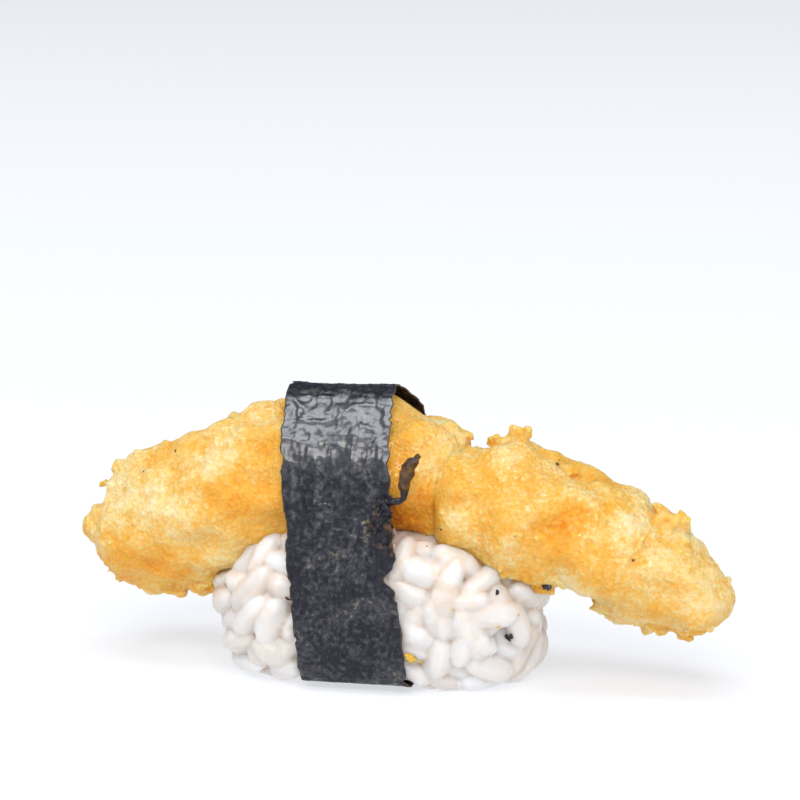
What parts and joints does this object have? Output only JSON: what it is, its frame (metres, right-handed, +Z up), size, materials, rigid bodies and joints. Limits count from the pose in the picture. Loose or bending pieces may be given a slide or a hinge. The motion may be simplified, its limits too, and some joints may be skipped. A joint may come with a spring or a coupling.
{
  "type": "shrimp tempura nigiri",
  "caption": "Hand-pressed rice block with a battered, fried shrimp laid across it and a seaweed strap wrapped round both.",
  "frame": {"origin": "middle of the whole part's footprint, on the surface it stands on", "axes": "+X along the shrimp towards its lower, tapering end, -Y towards the eater, +Z up"},
  "size_m": [0.0996, 0.0296, 0.0436],
  "materials": {
    "rice": "moist, slightly glossy",
    "batter": "fried, slightly oily",
    "seaweed": "wrinkled semi-gloss"
  },
  "bodies": {
    "root": {"rice_ball": "rice", "shrimp_tempura": "batter", "nori_strap": "seaweed"}
  },
  "joints": []
}
